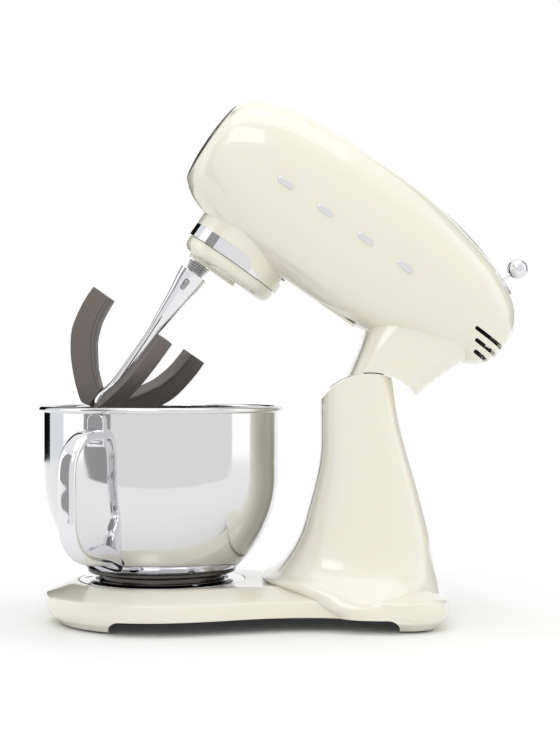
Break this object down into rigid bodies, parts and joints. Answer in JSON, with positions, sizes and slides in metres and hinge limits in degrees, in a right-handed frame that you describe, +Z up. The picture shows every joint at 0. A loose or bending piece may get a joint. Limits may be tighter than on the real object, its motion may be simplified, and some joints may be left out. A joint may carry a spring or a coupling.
{
  "type": "stand mixer",
  "caption": "Tilt-head kitchen stand mixer, head locked open over a round polished bowl with a side handle, planetary drive and a three-arm flexible-edge beater",
  "frame": {"origin": "the middle of the mixer's footprint on the counter: the centre of its overall box in X and Y, at the level that the rubber feet stand on", "axes": "+Z up; -X towards the front of the mixer, where the bowl stands; the plane of symmetry of the head and stand is parallel to XZ; -Y is the mixer's left side, where the bowl handle is"},
  "size_m": [0.4445, 0.253, 0.4717],
  "materials": {
    "cream_paint": "gloss enamel on die-cast aluminium",
    "chrome": "bright chrome",
    "polished_steel": "mirror-polished stainless steel",
    "steel": "machined steel",
    "alloy": "raw die casting",
    "brass": "machined",
    "copper": "enamelled copper winding on laminations",
    "black_plastic": "fine matt",
    "board": "printed board",
    "rubber": "matt",
    "silicone": "smooth matt silicone",
    "brushed_plate": "fine brushed"
  },
  "bodies": {
    "stand": {"stand_casting": "cream_paint", "base_cover": "black_plastic", "cover_screws": "steel", "rubber_feet": "rubber", "bowl_lock_plate": "polished_steel", "lock_plate_screws": "steel", "hinge_pin": "steel", "hinge_bushes": "brass", "hinge_washers": "steel", "cord_gland": "black_plastic", "terminal_block": "black_plastic"},
    "head": {"head_shell": "cream_paint", "neck_casting": "cream_paint", "neck_bolts": "steel", "head_bottom_cover": "cream_paint", "front_trim_ring": "chrome", "scale_plate": "brushed_plate", "speed_switch": "black_plastic", "side_trim": "chrome", "vent_baffles": "black_plastic", "button_spring": "steel", "button_guide": "black_plastic", "nose_band": "chrome", "ring_gear": "steel", "lower_deck": "alloy", "motor_plate": "alloy", "deck_posts": "steel", "output_bearings": "steel", "layshaft_bearings": "steel", "motor_can": "steel", "motor_stator": "copper", "motor_end_shield": "alloy", "motor_bearings": "steel", "brush_holders": "brass", "control_board": "board"},
    "front_cap": {"front_cover": "cream_paint"},
    "lever": {"speed_lever": "chrome", "lever_ball": "chrome", "lever_slider": "black_plastic"},
    "button": {"release_button": "chrome", "button_rod": "steel"},
    "hub": {"planetary_hub": "cream_paint", "output_shaft": "steel", "main_gear": "steel"},
    "layshaft_body": {"layshaft": "steel", "layshaft_gear": "steel"},
    "rotor": {"motor_shaft": "steel", "rotor_core": "copper", "commutator": "copper", "cooling_fan": "black_plastic"},
    "tool_drive": {"tool_shaft": "steel", "planet_gear": "steel", "tool_spring": "steel"},
    "beater": {"beater_spine": "polished_steel", "beater_arms": "steel", "beater_edges": "silicone"},
    "bowl": {"bowl_shell": "polished_steel", "bowl_foot": "polished_steel", "bowl_handle": "polished_steel"}
  },
  "joints": [
    {"name": "head_tilt", "type": "hinge", "parent": "stand", "child": "head", "pos_m": [0.0772, 0.01543, 0.174], "axis": [0, 1, 0], "range_deg": [-35, 0]},
    {"name": "hub_spin", "type": "hinge", "parent": "head", "child": "hub", "pos_m": [-0.0473, 0.01543, 0.32222], "axis": [0.5736, 0, 0.8192], "continuous": true},
    {"name": "layshaft_spin", "type": "hinge", "parent": "head", "child": "layshaft_body", "pos_m": [0.01148, 0.01543, 0.32989], "axis": [0.5736, 0, 0.8192], "continuous": true},
    {"name": "rotor_spin", "type": "hinge", "parent": "head", "child": "rotor", "pos_m": [0.0594, 0.01543, 0.33295], "axis": [0.5736, 0, 0.8192], "continuous": true},
    {"name": "tool_spin", "type": "hinge", "parent": "hub", "child": "tool_drive", "pos_m": [-0.0727, 0.01543, 0.32779], "axis": [0.5736, 0, 0.8192], "continuous": true},
    {"name": "beater_push_up", "type": "slide", "parent": "tool_drive", "child": "beater", "axis": [0.5736, 0, 0.8192], "range_m": [0, 0.005], "stiffness_N_per_m": 400, "deforming": ["tool_spring"]},
    {"name": "speed_lever_swing", "type": "hinge", "parent": "head", "child": "lever", "pos_m": [-0.04708, 0.01543, 0.14993], "axis": [0, -1, 0], "range_deg": [0, 15]},
    {"name": "release_press", "type": "slide", "parent": "head", "child": "button", "axis": [-0.8192, 0, 0.5736], "range_m": [0, 0.0035], "stiffness_N_per_m": 500},
    {"name": "front_cover_pull", "type": "slide", "parent": "head", "child": "front_cap", "axis": [-0.8192, 0, 0.5736], "range_m": [0, 0.02]},
    {"name": "bowl_lift", "type": "slide", "parent": "stand", "child": "bowl", "axis": [0, 0, 1], "range_m": [0, 0.06]}
  ],
  "couplings": [
    {"joint": "layshaft_spin", "follows": "hub_spin", "ratio": -4},
    {"joint": "rotor_spin", "follows": "hub_spin", "ratio": 16},
    {"joint": "tool_spin", "follows": "hub_spin", "ratio": -3}
  ]
}
